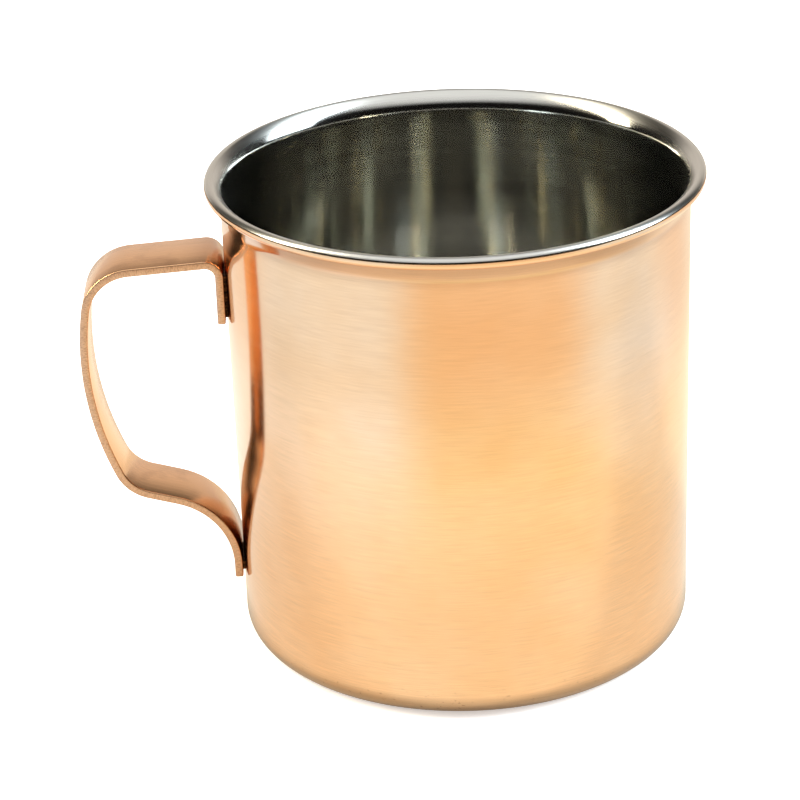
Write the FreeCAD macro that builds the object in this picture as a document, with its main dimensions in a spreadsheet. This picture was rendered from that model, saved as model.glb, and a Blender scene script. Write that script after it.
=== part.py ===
import FreeCAD, Part
import math
import os
import Sketcher
from FreeCAD import Vector

# A straight-sided drinking mug of thin sheet: a drawn copper shell outside, a drawn steel liner
# inside it, and a flat copper strap bent into a handle and brazed to the wall at both ends.
#
# Frame: millimetres, +Z up.  The origin is the middle of the face that the mug stands on, the
# mug's axis is Z, and the handle stands out along -X.

DIMENSIONS = {
    # overall size
    "total_height": 92.0,
    "rim_radius": 46.0,
    # sheet metal
    "copper_sheet": 0.5,
    "steel_sheet": 0.5,
    # outside of the wall: a slight taper, a rounded base corner, and a flare up to the rim
    "wall_radius_foot": 42.7,
    "wall_taper": 0.35,
    "base_corner_radius": 5.0,
    "flare_radius": 4.0,
    "flare_angle": 22.0,
    # rolled rim, with its angles measured at the middle of the roll, up from the outside
    "roll_radius": 1.1,
    "copper_edge_angle": 19.0,
    "steel_edge_angle": 29.0,
    # where the copper leaves the liner to go round the roll, the gap that has opened between them
    "copper_root_gap": 0.15,
    # handle strap, along the middle of its thickness
    "strap_width": 13.0,
    "strap_sheet": 1.5,
    "upper_leg_low": 65.4,
    "upper_leg_length": 9.15,
    "upper_leg_bend": 2.65,
    "upper_arm_drop": 3.6,
    "upper_arm_bend": 9.0,
    "grip_reach": 69.8,
    "grip_widest_height": 59.15,
    "grip_curve": 59.1,
    "lower_arm_bend": 8.0,
    "lower_arm_drop": 15.6,
    "lower_leg_bend": 14.6,
    "lower_leg_length": 2.7,
    "lower_leg_low": 12.85,
    # filler between a flat leg and the round wall
    "braze_gap": 0.1,
    "braze_depth": 0.45,
    "braze_width": 8.0,
    "braze_inset": 0.4,
}

START, END, CENTRE = 1, 2, 3
ORIGIN = -1
VERTICAL_AXIS = -2

doc = FreeCAD.newDocument("mug")


def write_dimensions():
    """Put every driving dimension in the sheet, one named cell each."""
    sheet = doc.addObject("Spreadsheet::Sheet", "Dimensions")
    for row, (name, value) in enumerate(DIMENSIONS.items(), start=1):
        sheet.set("A%d" % row, name)
        sheet.set("B%d" % row, str(value))
        sheet.setAlias("B%d" % row, name)
    doc.recompute()


def from_sheet(formula):
    """Formula of plain dimension names, rewritten so that it reads them from the sheet."""
    for name in sorted(DIMENSIONS, key=len, reverse=True):
        formula = formula.replace(name, "Dimensions." + name)
    return formula


def new_body(label):
    body = doc.addObject("PartDesign::Body", label)
    body.Label = label
    return body


def new_sketch(body, name, plane_role):
    """Empty sketch on one of the body's own origin planes."""
    sketch = body.newObject("Sketcher::SketchObject", name)
    plane = [feature for feature in body.Origin.OriginFeatures if feature.Role == plane_role][0]
    sketch.AttachmentSupport = [(plane, "")]
    sketch.MapMode = "FlatFace"
    return sketch


def polar(centre, radius, degrees):
    angle = math.radians(degrees)
    return (centre[0] + radius * math.cos(angle), centre[1] + radius * math.sin(angle))


def line(sketch, start, end):
    return sketch.addGeometry(Part.LineSegment(Vector(*start, 0), Vector(*end, 0)), False)


def arc(sketch, centre, radius, start_degrees, end_degrees):
    """Arc drawn anticlockwise from its start angle to its end angle."""
    circle = Part.Circle(Vector(*centre, 0), Vector(0, 0, 1), radius)
    curve = Part.ArcOfCircle(circle, math.radians(start_degrees), math.radians(end_degrees))
    return sketch.addGeometry(curve, False)


def rule(sketch, *terms):
    return sketch.addConstraint(Sketcher.Constraint(*terms))


def size(sketch, formula, kind, *terms):
    """Dimension bound to the sheet; the last term is the value that the first solve starts from."""
    index = rule(sketch, kind, *terms)
    sketch.setExpression("Constraints[%d]" % index, from_sheet(formula))


def place(sketch, geometry, vertex, across, up, guess):
    """Hold a vertex at the distances from the sketch's origin that two formulas give."""
    size(sketch, across, "DistanceX", ORIGIN, START, geometry, vertex, guess[0])
    size(sketch, up, "DistanceY", ORIGIN, START, geometry, vertex, guess[1])


def incline(sketch, formula, segment, guess_degrees):
    """Turn a line to an angle from horizontal, in degrees."""
    size(sketch, formula, "Angle", segment, math.radians(guess_degrees))


# ---------------------------------------------------------------------------------------------
# Cup: both drawn shells have the same section, each at its own depth below the outside face.
# ---------------------------------------------------------------------------------------------

DIM = DIMENSIONS
ROLL_CENTRE = (DIM["rim_radius"] - DIM["roll_radius"], DIM["total_height"] - DIM["roll_radius"])
ROLL_HOLLOW = DIM["roll_radius"] - DIM["steel_sheet"]
CORNER_CENTRE = (DIM["wall_radius_foot"] - DIM["base_corner_radius"], DIM["base_corner_radius"])


def flare_centre():
    """Middle of the flare's curve, where the sheet leaves the wall for the rolled rim."""
    curve = DIM["flare_radius"] + DIM["copper_sheet"]
    tilt = math.radians(DIM["flare_angle"])
    across = DIM["wall_radius_foot"] + DIM["flare_radius"]
    touch = polar(ROLL_CENTRE, ROLL_HOLLOW, 180 - DIM["flare_angle"])
    up = touch[1] - (curve + math.cos(tilt) * (touch[0] - across)) / math.sin(tilt)
    return (across, up)


def wall_run(sketch, depth, depth_formula, lip_end):
    """One face of the sheet, from the axis along the base and up the wall to the lip."""
    taper = DIM["wall_taper"]
    tilt = DIM["flare_angle"]
    corner_radius = DIM["base_corner_radius"] - depth
    flare_radius = DIM["flare_radius"] + depth
    middle = flare_centre()
    floor = line(sketch, (0, depth), (CORNER_CENTRE[0], depth))
    corner = arc(sketch, CORNER_CENTRE, corner_radius, 270, 360 - taper)
    wall_low = polar(CORNER_CENTRE, corner_radius, -taper)
    wall_high = polar(middle, flare_radius, 180 - taper)
    wall = line(sketch, wall_low, wall_high)
    flare = arc(sketch, middle, flare_radius, 180 - tilt, 180 - taper)
    lip = line(sketch, polar(middle, flare_radius, 180 - tilt), lip_end)
    rule(sketch, "PointOnObject", floor, START, VERTICAL_AXIS)
    rule(sketch, "Horizontal", floor)
    rule(sketch, "Tangent", floor, END, corner, START)
    rule(sketch, "Tangent", corner, END, wall, START)
    rule(sketch, "Tangent", wall, END, flare, END)
    rule(sketch, "Tangent", flare, START, lip, START)
    size(sketch, "base_corner_radius - (%s)" % depth_formula, "Radius", corner, corner_radius)
    size(sketch, "flare_radius + (%s)" % depth_formula, "Radius", flare, flare_radius)
    return {"floor": floor, "corner": corner, "wall": wall, "flare": flare, "lip": lip}


def drive_first_run(sketch, run):
    """Place the run whose curves the sheet's other face shares."""
    place(sketch, run["corner"], CENTRE, "wall_radius_foot - base_corner_radius",
          "base_corner_radius", CORNER_CENTRE)
    incline(sketch, "90 - wall_taper", run["wall"], 90 - DIM["wall_taper"])


def share_centres(sketch, run, other):
    rule(sketch, "Coincident", run["corner"], CENTRE, other["corner"], CENTRE)
    rule(sketch, "Coincident", run["flare"], CENTRE, other["flare"], CENTRE)


def place_roll(sketch, curve):
    place(sketch, curve, CENTRE, "rim_radius - roll_radius", "total_height - roll_radius",
          ROLL_CENTRE)


def sheet_edge(sketch, degrees, formula, inner, inner_end, outer, outer_end):
    """Cut edge of a sheet, square across the roll, between its inner and outer curves."""
    edge = line(sketch, polar(ROLL_CENTRE, ROLL_HOLLOW, degrees),
                polar(ROLL_CENTRE, DIM["roll_radius"], degrees))
    rule(sketch, "Coincident", edge, START, inner, inner_end)
    rule(sketch, "Coincident", edge, END, outer, outer_end)
    rule(sketch, "PointOnObject", outer, CENTRE, edge)
    incline(sketch, formula, edge, degrees)


def revolve(body, sketch, name):
    revolution = body.newObject("PartDesign::Revolution", name)
    revolution.Profile = sketch
    revolution.ReferenceAxis = (sketch, ["V_Axis"])
    revolution.Angle = 360
    body.Tip = revolution


def make_copper_shell():
    """Outer shell: its top edge flares out and curls up round the underside of the rim."""
    body = new_body("copper_shell")
    sketch = new_sketch(body, "copper_section", "XZ_Plane")
    tilt = DIM["flare_angle"]
    edge = DIM["copper_edge_angle"]
    lap = math.degrees(math.acos((ROLL_HOLLOW - DIM["copper_sheet"]) / DIM["roll_radius"]))
    outside_end = polar(ROLL_CENTRE, DIM["roll_radius"], 180 - tilt + lap)
    root = 180 - tilt + math.degrees(math.acos(1 - DIM["copper_root_gap"] / ROLL_HOLLOW))
    root_start = polar(ROLL_CENTRE, ROLL_HOLLOW, root)
    root_point = polar(root_start, DIM["copper_root_gap"], 180 - tilt)
    outside = wall_run(sketch, 0, "0", outside_end)
    inside = wall_run(sketch, DIM["copper_sheet"], "copper_sheet", root_point)
    drive_first_run(sketch, outside)
    share_centres(sketch, outside, inside)
    incline(sketch, "90 - flare_angle", outside["lip"], 90 - tilt)
    incline(sketch, "90 - flare_angle", inside["lip"], 90 - tilt)
    curl = arc(sketch, ROLL_CENTRE, DIM["roll_radius"], 180 - tilt + lap, 360 + edge)
    hollow = arc(sketch, ROLL_CENTRE, ROLL_HOLLOW, root, 360 + edge)
    place_roll(sketch, curl)
    rule(sketch, "Coincident", hollow, CENTRE, curl, CENTRE)
    size(sketch, "roll_radius", "Radius", curl, DIM["roll_radius"])
    size(sketch, "roll_radius - steel_sheet", "Radius", hollow, ROLL_HOLLOW)
    rule(sketch, "Coincident", outside["lip"], END, curl, START)
    sheet_edge(sketch, edge, "copper_edge_angle", hollow, END, curl, END)
    bend = line(sketch, root_start, root_point)
    rule(sketch, "Coincident", bend, START, hollow, START)
    rule(sketch, "Coincident", bend, END, inside["lip"], END)
    rule(sketch, "Perpendicular", bend, inside["lip"])
    size(sketch, "copper_root_gap", "Distance", bend, START, bend, END, DIM["copper_root_gap"])
    size(sketch, "roll_radius - steel_sheet", "Distance", hollow, CENTRE, inside["lip"],
         ROLL_HOLLOW)
    axis = line(sketch, (0, 0), (0, DIM["copper_sheet"]))
    rule(sketch, "Coincident", axis, START, outside["floor"], START)
    rule(sketch, "Coincident", axis, END, inside["floor"], START)
    revolve(body, sketch, "copper_revolution")
    return body


def make_steel_liner():
    """Liner: face to face with the copper, its top edge rolled outwards over the copper's."""
    body = new_body("steel_liner")
    sketch = new_sketch(body, "steel_section", "XZ_Plane")
    touch = 180 - DIM["flare_angle"]
    edge = DIM["steel_edge_angle"]
    outer_depth = DIM["copper_sheet"]
    inner_depth = DIM["copper_sheet"] + DIM["steel_sheet"]
    outside = wall_run(sketch, outer_depth, "copper_sheet", polar(ROLL_CENTRE, ROLL_HOLLOW, touch))
    inside = wall_run(sketch, inner_depth, "copper_sheet + steel_sheet",
                      polar(ROLL_CENTRE, DIM["roll_radius"], touch))
    drive_first_run(sketch, outside)
    share_centres(sketch, outside, inside)
    incline(sketch, "90 - flare_angle", outside["lip"], 90 - DIM["flare_angle"])
    hollow = arc(sketch, ROLL_CENTRE, ROLL_HOLLOW, edge, touch)
    curl = arc(sketch, ROLL_CENTRE, DIM["roll_radius"], edge, touch)
    place_roll(sketch, curl)
    rule(sketch, "Coincident", hollow, CENTRE, curl, CENTRE)
    size(sketch, "roll_radius", "Radius", curl, DIM["roll_radius"])
    size(sketch, "roll_radius - steel_sheet", "Radius", hollow, ROLL_HOLLOW)
    rule(sketch, "Tangent", outside["lip"], END, hollow, END)
    rule(sketch, "Tangent", inside["lip"], END, curl, END)
    sheet_edge(sketch, edge, "steel_edge_angle", hollow, START, curl, START)
    axis = line(sketch, (0, outer_depth), (0, inner_depth))
    rule(sketch, "Coincident", axis, START, outside["floor"], START)
    rule(sketch, "Coincident", axis, END, inside["floor"], START)
    revolve(body, sketch, "steel_revolution")
    return body


# ---------------------------------------------------------------------------------------------
# Handle: one flat strap, bent in the plane of the mug's axis, with a flat leg at each end.
# ---------------------------------------------------------------------------------------------

WALL_AT = "(wall_radius_foot + (%s - base_corner_radius) * tan(wall_taper * 1 deg))"
UPPER_FACE = WALL_AT % "(upper_leg_low + upper_leg_length / 2)" + " + braze_gap"
LOWER_FACE = WALL_AT % "(lower_leg_low + lower_leg_length / 2)" + " + braze_gap"


def leg_guess(low, length):
    """Distance from the axis to the middle of a leg's thickness."""
    height = DIM[low] + DIM[length] / 2 - DIM["base_corner_radius"]
    wall = DIM["wall_radius_foot"] + height * math.tan(math.radians(DIM["wall_taper"]))
    return wall + DIM["braze_gap"] + DIM["strap_sheet"] / 2


def make_strap_path(body):
    """Middle line of the strap: straights and tangent bends, from the upper leg to the lower."""
    sketch = new_sketch(body, "strap_path", "XZ_Plane")
    drop = DIM["upper_arm_drop"]
    rise = DIM["lower_arm_drop"]
    upper = leg_guess("upper_leg_low", "upper_leg_length")
    lower = leg_guess("lower_leg_low", "lower_leg_length")
    upper_low = (-upper, DIM["upper_leg_low"])
    upper_high = (-upper, DIM["upper_leg_low"] + DIM["upper_leg_length"])
    lower_low = (-lower, DIM["lower_leg_low"])
    lower_high = (-lower, DIM["lower_leg_low"] + DIM["lower_leg_length"])
    grip_centre = (DIM["grip_curve"] - DIM["grip_reach"], DIM["grip_widest_height"])

    # the angles at which the grip's long curve starts and ends are only first guesses
    grip_high, grip_low = 171, 203
    top_bend_centre = (upper_high[0] - DIM["upper_leg_bend"], upper_high[1])
    arm_bend_centre = polar(grip_centre, DIM["grip_curve"] - DIM["upper_arm_bend"], grip_high)
    low_bend_centre = polar(grip_centre, DIM["grip_curve"] - DIM["lower_arm_bend"], grip_low)
    foot_bend_centre = (lower_high[0] - DIM["lower_leg_bend"], lower_high[1])

    upper_leg = line(sketch, upper_low, upper_high)
    top_bend = arc(sketch, top_bend_centre, DIM["upper_leg_bend"], 0, 90 + drop)
    upper_arm = line(sketch, polar(top_bend_centre, DIM["upper_leg_bend"], 90 + drop),
                     polar(arm_bend_centre, DIM["upper_arm_bend"], 90 + drop))
    arm_bend = arc(sketch, arm_bend_centre, DIM["upper_arm_bend"], 90 + drop, grip_high)
    grip = arc(sketch, grip_centre, DIM["grip_curve"], grip_high, grip_low)
    low_bend = arc(sketch, low_bend_centre, DIM["lower_arm_bend"], grip_low, 270 - rise)
    lower_arm = line(sketch, polar(low_bend_centre, DIM["lower_arm_bend"], 270 - rise),
                     polar(foot_bend_centre, DIM["lower_leg_bend"], 90 - rise))
    foot_bend = arc(sketch, foot_bend_centre, DIM["lower_leg_bend"], 0, 90 - rise)
    lower_leg = line(sketch, lower_high, lower_low)

    joints = [(upper_leg, END, top_bend, START), (top_bend, END, upper_arm, START),
              (upper_arm, END, arm_bend, START), (arm_bend, END, grip, START),
              (grip, END, low_bend, START), (low_bend, END, lower_arm, START),
              (lower_arm, END, foot_bend, END), (foot_bend, START, lower_leg, START)]
    for joint in joints:
        rule(sketch, "Tangent", *joint)
    for curve, name in [(top_bend, "upper_leg_bend"), (arm_bend, "upper_arm_bend"),
                        (grip, "grip_curve"), (low_bend, "lower_arm_bend"),
                        (foot_bend, "lower_leg_bend")]:
        size(sketch, name, "Radius", curve, DIM[name])
    rule(sketch, "Vertical", upper_leg)
    rule(sketch, "Vertical", lower_leg)
    place(sketch, upper_leg, START, "-(%s + strap_sheet / 2)" % UPPER_FACE, "upper_leg_low",
          upper_low)
    place(sketch, lower_leg, END, "-(%s + strap_sheet / 2)" % LOWER_FACE, "lower_leg_low",
          lower_low)
    place(sketch, grip, CENTRE, "grip_curve - grip_reach", "grip_widest_height", grip_centre)
    size(sketch, "upper_leg_length", "DistanceY", upper_leg, START, upper_leg, END,
         DIM["upper_leg_length"])
    size(sketch, "lower_leg_length", "DistanceY", lower_leg, END, lower_leg, START,
         DIM["lower_leg_length"])
    incline(sketch, "-180 + upper_arm_drop", upper_arm, -180 + drop)
    incline(sketch, "-lower_arm_drop", lower_arm, -rise)
    return sketch


def make_strap_section(body):
    """Flat bar section of the strap, across the low end of the upper leg."""
    sketch = new_sketch(body, "strap_section", "XY_Plane")
    sketch.setExpression("AttachmentOffset.Base.z", from_sheet("upper_leg_low"))
    face = -(leg_guess("upper_leg_low", "upper_leg_length") - DIM["strap_sheet"] / 2)
    back = face - DIM["strap_sheet"]
    half = DIM["strap_width"] / 2
    corners = [(back, -half), (face, -half), (face, half), (back, half)]
    sides = [line(sketch, a, b) for a, b in zip(corners, corners[1:] + corners[:1])]
    for side, following in zip(sides, sides[1:] + sides[:1]):
        rule(sketch, "Coincident", side, END, following, START)
    for side, direction in zip(sides, ["Horizontal", "Vertical", "Horizontal", "Vertical"]):
        rule(sketch, direction, side)
    place(sketch, sides[0], START, "-(%s + strap_sheet)" % UPPER_FACE, "-strap_width / 2",
          corners[0])
    size(sketch, "strap_sheet", "DistanceX", sides[0], START, sides[0], END, DIM["strap_sheet"])
    size(sketch, "strap_width", "DistanceY", sides[1], START, sides[1], END, DIM["strap_width"])
    return sketch


def make_handle_strap():
    body = new_body("handle_strap")
    path = make_strap_path(body)
    section = make_strap_section(body)
    doc.recompute()
    pipe = body.newObject("PartDesign::AdditivePipe", "strap_bend")
    pipe.Profile = section
    pipe.Spine = (path, ["Edge%d" % (i + 1) for i in range(path.GeometryCount)])
    body.Tip = pipe
    return body


def make_braze_pad(label, shell, face, leg_low, leg_length):
    """Filler under one leg: flat on the strap side, and round on the side against the wall."""
    block = doc.addObject("Part::Box", label + "_block")
    for name, formula in [("Length", "braze_depth"), ("Width", "braze_width"),
                          ("Height", leg_length + " - 2 * braze_inset"),
                          ("Placement.Base.x", "-(%s)" % face),
                          ("Placement.Base.y", "-braze_width / 2"),
                          ("Placement.Base.z", leg_low + " + braze_inset")]:
        block.setExpression(name, from_sheet(formula))
    pad = doc.addObject("Part::Cut", label)
    pad.Label = label
    pad.Base = block
    pad.Tool = shell
    return pad


def check(parts):
    """Stop before anything is written if an object failed or a shape is not one good solid."""
    for item in doc.Objects:
        if "Invalid" in item.State or "Error" in item.State:
            raise RuntimeError("%s failed: %s" % (item.Label, item.State))
    for part in parts:
        shape = part.Shape
        if shape.isNull() or not shape.isValid() or len(shape.Solids) != 1:
            raise RuntimeError("%s is not one valid solid" % part.Label)


def main():
    write_dimensions()
    shell = make_copper_shell()
    liner = make_steel_liner()
    strap = make_handle_strap()
    doc.recompute()
    upper_pad = make_braze_pad("upper_braze_pad", shell, UPPER_FACE,
                               "upper_leg_low", "upper_leg_length")
    lower_pad = make_braze_pad("lower_braze_pad", shell, LOWER_FACE,
                               "lower_leg_low", "lower_leg_length")
    doc.recompute()
    parts = [shell, liner, strap, upper_pad, lower_pad]
    check(parts)
    os.makedirs("parts", exist_ok=True)
    for part in parts:
        part.Shape.exportStep("parts/%s.step" % part.Label)
        print(part.Label, "volume %.1f mm3" % part.Shape.Volume)


main()
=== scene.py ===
import math

import bpy
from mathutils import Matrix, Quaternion, Vector


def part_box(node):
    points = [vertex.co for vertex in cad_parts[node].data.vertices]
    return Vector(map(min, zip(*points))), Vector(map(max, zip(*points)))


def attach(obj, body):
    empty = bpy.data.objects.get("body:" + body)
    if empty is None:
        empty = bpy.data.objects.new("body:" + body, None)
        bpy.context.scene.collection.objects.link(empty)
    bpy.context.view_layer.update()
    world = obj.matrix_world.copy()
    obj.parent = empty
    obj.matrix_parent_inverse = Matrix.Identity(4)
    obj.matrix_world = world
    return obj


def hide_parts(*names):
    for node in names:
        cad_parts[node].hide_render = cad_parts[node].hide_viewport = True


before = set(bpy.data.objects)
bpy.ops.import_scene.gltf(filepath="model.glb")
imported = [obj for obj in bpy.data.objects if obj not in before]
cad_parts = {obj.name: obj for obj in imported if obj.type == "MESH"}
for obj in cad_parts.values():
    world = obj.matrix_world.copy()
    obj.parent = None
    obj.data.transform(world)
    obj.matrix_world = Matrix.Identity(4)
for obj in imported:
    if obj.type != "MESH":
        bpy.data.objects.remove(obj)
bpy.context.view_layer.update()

bl_info = {
    "name": "Copper mug",
    "version": (1, 0, 0),
    "blender": (4, 5, 0),
    "location": "View3D > Sidebar > Mug",
    "description": "Models a steel-lined copper mug with a strap handle around its CAD frame",
    "category": "Object",
}

MM = 0.001
BODY = "root"

SHELL_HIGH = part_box("copper_shell")[1]
LINER_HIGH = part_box("steel_liner")[1]
STRAP_LOW, STRAP_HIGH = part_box("handle_strap")

# Points closer together than this are one point.
SAME_POINT = 0.001 * MM
# Faces that meet at less than this angle are shaded as one surface.
SMOOTH_BELOW = math.radians(35)
# Edges of the strap that are sharper than this are rounded, in this many steps.
ROUND_ABOVE = math.radians(50)
ROUND_STEPS = 3

# Spacing of the points along the straight runs of the cups' outlines.
BASE_SPACING = 2.0 * MM
WALL_SPACING = 2.5 * MM
LIP_SPACING = 0.7 * MM
# Steps round the bends of the cups' outlines.
CORNER_STEPS = 14
FLARE_STEPS = 8
GROOVE_STEPS = 4
SWEEP_STEPS = 14
ROLL_STEPS = 22

# Heights above the base between which painted shade under the rim fades in and out on the copper
# wall, and where the oxide specks near the base are full and end.
UNDER_RIM_UNSHADED, UNDER_RIM_SHADED = 84.5 * MM, 89 * MM
ROLL_SHADED, ROLL_UNSHADED = 89.5 * MM, 90.0 * MM
SPECKS_FULL, SPECKS_END = 2 * MM, 7 * MM
# Heights above the base between which the steel goes from brushed to matt.
STEEL_BRUSHED, STEEL_MATT = 89.6 * MM, 91.0 * MM

# Size of the marks along, across and through the strap: on its faces, then on its sheared edges.
# Brush lines are about 0.05 mm apart; they are drawn 0.25 mm apart so that they show.
FACE_MARKS = (12 * MM, 0.25 * MM, 2 * MM)
EDGE_MARKS = (0.16 * MM, 2 * MM, 0.5 * MM)
# The attribute that holds each point's place along, across and through the strap.
STRAP_RUN = "strap_run"
# How far in from the strap's side its face ends and its sheared edge begins.
FACE_ENDS, EDGE_BEGINS = 0.1 * MM, 0.03 * MM
# How far from its nearer end the strap is darkened by painted shade where it meets the wall, fully
# and at all.
JOINT_SHADE_FULL, JOINT_SHADE_END = 5 * MM, 19 * MM

# Where the light on the paper changes, in metres. The cool side light leaves out a strip whose
# middle is this far right of the axis, and begins and is full this far from that middle.
SIDE_LIGHT_MIDDLE = 0.035
SIDE_LIGHT_BEGINS, SIDE_LIGHT_FULL = 0.05, 0.15
# How far behind the axis the rear shade is full; the others are distances from the axis.
REAR_SHADE_FULL = 0.15
FRONT_SHADE_BEGINS, FRONT_SHADE_FULL = 0.15, 0.195
NEAR_SHADE_FULL, NEAR_SHADE_ENDS = 0.07, 0.16
GLOW_FULL, GLOW_ENDS = 0.07, 0.2
CONTACT_BEGINS, CONTACT_ENDS = 0.043, 0.05
FLOOR_RADIUS = 4.0


def linear(hex_colour):
    """An sRGB hex colour as linear red, green and blue."""
    made = []
    for start in (1, 3, 5):
        value = int(hex_colour[start:start + 2], 16) / 255
        made.append(value / 12.92 if value <= 0.04045 else ((value + 0.055) / 1.055) ** 2.4)
    return tuple(made)


def length(name, description, default):
    """A property that holds a length in metres."""
    return bpy.props.FloatProperty(
        name=name, description=description, default=default, min=0.0, precision=5,
        unit="LENGTH",
    )


def degrees(name, description, default):
    """A property that holds an angle, given here in degrees."""
    return bpy.props.FloatProperty(
        name=name, description=description, default=math.radians(default), precision=3,
        unit="ROTATION",
    )


def colour(name, description, hex_colour):
    """A property that holds a colour."""
    return bpy.props.FloatVectorProperty(
        name=name, description=description, default=linear(hex_colour), size=3,
        min=0.0, max=1.0, subtype="COLOR",
    )


def point(name, description, default):
    """A property that holds a point, in metres."""
    return bpy.props.FloatVectorProperty(
        name=name, description=description, default=default, size=3, subtype="XYZ",
        unit="LENGTH",
    )


def amount(name, description, default, least=0.0):
    """A property that holds a plain number."""
    return bpy.props.FloatProperty(
        name=name, description=description, default=default, min=least
    )


# -------- sizes and colours


class MugCup(bpy.types.PropertyGroup):
    """Sizes of the two cups that make the body, the copper one outside and the steel one inside."""

    height: length("Height", "Resting face to the top of the rim", LINER_HIGH.z)
    rim_radius: length("Rim radius", "Axis to the outside of the rolled rim", SHELL_HIGH.x)
    foot_radius: length("Foot radius", "Axis to the wall, just above the base corner", 42.7 * MM)
    wall_taper: degrees("Wall taper", "How far the wall leans out", 0.35)
    corner_radius: length("Base corner", "Outside radius between base and wall", 5.0 * MM)
    flare_radius: length("Flare bend", "Outside radius where the wall turns to the lip", 4.0 * MM)
    flare_angle: degrees("Flare", "How far the copper lip leans out from upright", 22.0)
    lip_angle: degrees("Lip", "How far the steel lip leans out where it meets the roll", 58.0)
    roll_radius: length("Rim roll", "Outside radius of the rolled rim", 1.1 * MM)
    root_fillet: length("Roll root", "Radius of the groove under the roll", 0.3 * MM)
    sheet: length("Sheet", "Thickness of each cup's sheet", 0.5 * MM)
    clearance: length("Clearance", "Air between the two sheets", 0.01 * MM)
    copper_edge: degrees("Copper edge", "Where the copper stops on the roll, above level", 19.0)
    steel_edge: degrees("Steel edge", "Where the steel stops on the roll, above level", 28.0)
    around: bpy.props.IntProperty(
        name="Steps round", description="Faces round each cup", default=192, min=32, max=512
    )


class MugHandle(bpy.types.PropertyGroup):
    """The strap handle: its section, then each straight run and bend from the upper leg's end."""

    width: length("Width", "Width of the strap", STRAP_HIGH.y - STRAP_LOW.y)
    sheet: length("Thickness", "Thickness of the strap", 1.5 * MM)
    edge_round: length("Edge rounding", "Radius left on the sheared edges", 0.25 * MM)
    upper_face: length("Upper leg", "Axis to the middle of the upper leg's sheet", 43.95 * MM)
    upper_leg_low: length("Upper leg's end", "Height of the upper leg's free end", 65.4 * MM)
    upper_leg: length("Upper leg run", "Straight run of the upper leg", 9.15 * MM)
    upper_bend: length("Upper bend", "Radius from the upper leg to the upper arm", 2.65 * MM)
    upper_arm_drop: degrees("Upper arm drop", "Slope of the upper arm, away from the cup", 3.6)
    upper_arm: length("Upper arm run", "Straight run of the upper arm", 13.96 * MM)
    shoulder_bend: length("Shoulder", "Radius from the upper arm to the grip", 9.0 * MM)
    shoulder_turn: degrees("Shoulder turn", "Angle of the shoulder bend", 77.0)
    grip_bend: length("Grip", "Radius of the grip's long bow", 59.1 * MM)
    grip_turn: degrees("Grip turn", "Angle of the grip's bow", 32.83)
    heel_bend: length("Heel", "Radius from the grip to the lower arm", 8.0 * MM)
    lower_arm_drop: degrees("Lower arm drop", "Slope of the lower arm, towards the cup", 15.6)
    lower_arm: length("Lower arm run", "Straight run of the lower arm", 5.67 * MM)
    lower_bend: length("Lower bend", "Radius from the lower arm to the lower leg", 14.6 * MM)
    lower_leg: length("Lower leg run", "Straight run of the lower leg", 2.7 * MM)


class MugFinish(bpy.types.PropertyGroup):
    """Colours of the metals, and of the paper that they stand on and mirror."""

    copper: colour("Copper", "Brushed copper under clear lacquer", "#F9CBA0")
    copper_warm: colour("Warm copper", "Copper that has darkened a little", "#F6C08C")
    strap: colour("Strap copper", "Brushed copper of the handle", "#F2BE8E")
    strap_edge: colour("Sheared edge", "Copper on the strap's cut edges", "#DBAC86")
    # This brown is also painted shade under the copper's rim and at the strap's ends by the wall.
    tarnish_and_shade: colour("Tarnish", "Brown copper oxide in scratches and corners", "#8A5638")
    steel: colour("Steel", "Brushed stainless steel", "#CFCEC8")
    braze: colour("Braze", "Copper-coloured filler metal", "#8C5A38")
    # Painted shade: this black stands for the shade in the gap between strap and wall.
    gap_shade: colour("Burnt flux", "Black glassy flux left on the braze", "#1D120B")
    paper: colour("Paper", "Floor of the studio", "#FFFFFF")
    # The next four colours are painted light and shade on the paper, seen only in what the metal
    # mirrors.
    paper_front: colour("Paper in front", "Floor mirrored from the front", "#BFBDA4")
    paper_side: colour("Paper beside", "Floor mirrored from the sides, in cooler light", "#C4D2E2")
    paper_shade: colour("Shaded paper", "Floor mirrored from behind and far in front", "#C6B8A6")
    paper_near: colour("Paper close by", "Floor mirrored from close to the foot", "#8C8C86")
    paper_glow: colour("Light on the near paper", "Light that fills the mug's shadow", "#FFF6E2")


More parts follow.
